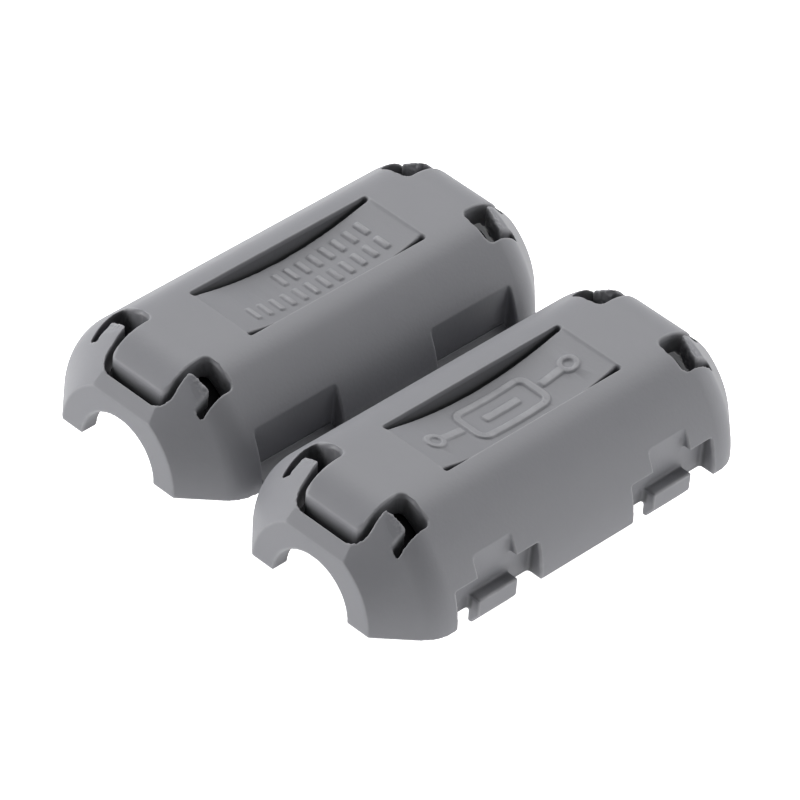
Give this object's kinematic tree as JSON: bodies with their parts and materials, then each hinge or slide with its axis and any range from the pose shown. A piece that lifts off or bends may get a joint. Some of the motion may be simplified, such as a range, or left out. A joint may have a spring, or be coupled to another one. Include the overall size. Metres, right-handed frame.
{
  "type": "clip-on ferrite bead",
  "caption": "Clip-on ferrite bead, laid open: two snap-together case halves on strap hinges, each holding half of a split ferrite core around a cable channel.",
  "frame": {"origin": "on the cable channel axis of the latch half, halfway along it, on the parting plane", "axes": "+X across the case away from the hinge, towards the latch blocks; +Y along the cable; +Z towards the labelled tops of the opened halves"},
  "size_m": [0.026, 0.025, 0.0079],
  "materials": {
    "case_plastic": "fine matte moulded grey",
    "ferrite": "fired dark grey ceramic, matte with ground split faces"
  },
  "bodies": {
    "latch_side": {"latch_half": "case_plastic", "core_latch_half": "ferrite", "hinge_strap_front": "case_plastic", "hinge_strap_rear": "case_plastic"},
    "loop_side": {"loop_half": "case_plastic", "core_loop_half": "ferrite"}
  },
  "joints": [
    {"name": "case_hinge", "type": "hinge", "parent": "latch_side", "child": "loop_side", "pos_m": [-0.00668, 0, 0], "axis": [0, -1, 0], "range_deg": [0, 179.9], "deforming": ["hinge_strap_front", "hinge_strap_rear"]}
  ]
}
